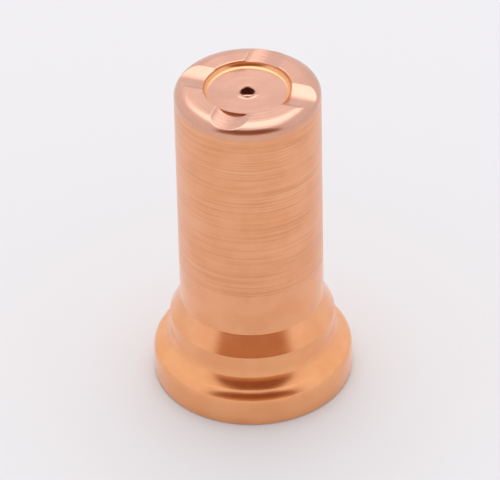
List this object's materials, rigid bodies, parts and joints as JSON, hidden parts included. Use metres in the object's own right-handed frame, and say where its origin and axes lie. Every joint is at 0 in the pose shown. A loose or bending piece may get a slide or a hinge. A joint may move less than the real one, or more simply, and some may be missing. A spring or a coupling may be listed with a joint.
{
  "type": "plasma torch nozzle",
  "caption": "Long copper plasma cutting nozzle: straight barrel with a recessed, slotted tip round a fine orifice, flared shoulder and clamping flange, bored from the rear.",
  "frame": {"origin": "centre of the rear face, on the torch axis, where the flange stands on a surface", "axes": "+Z along the torch axis from the rear face to the tip; the vent slots lie along X and Y"},
  "size_m": [0.0132, 0.0132, 0.0227],
  "materials": {
    "copper": "bright turned copper with fine circumferential tool marks"
  },
  "bodies": {
    "root": {"nozzle": "copper"}
  },
  "joints": []
}
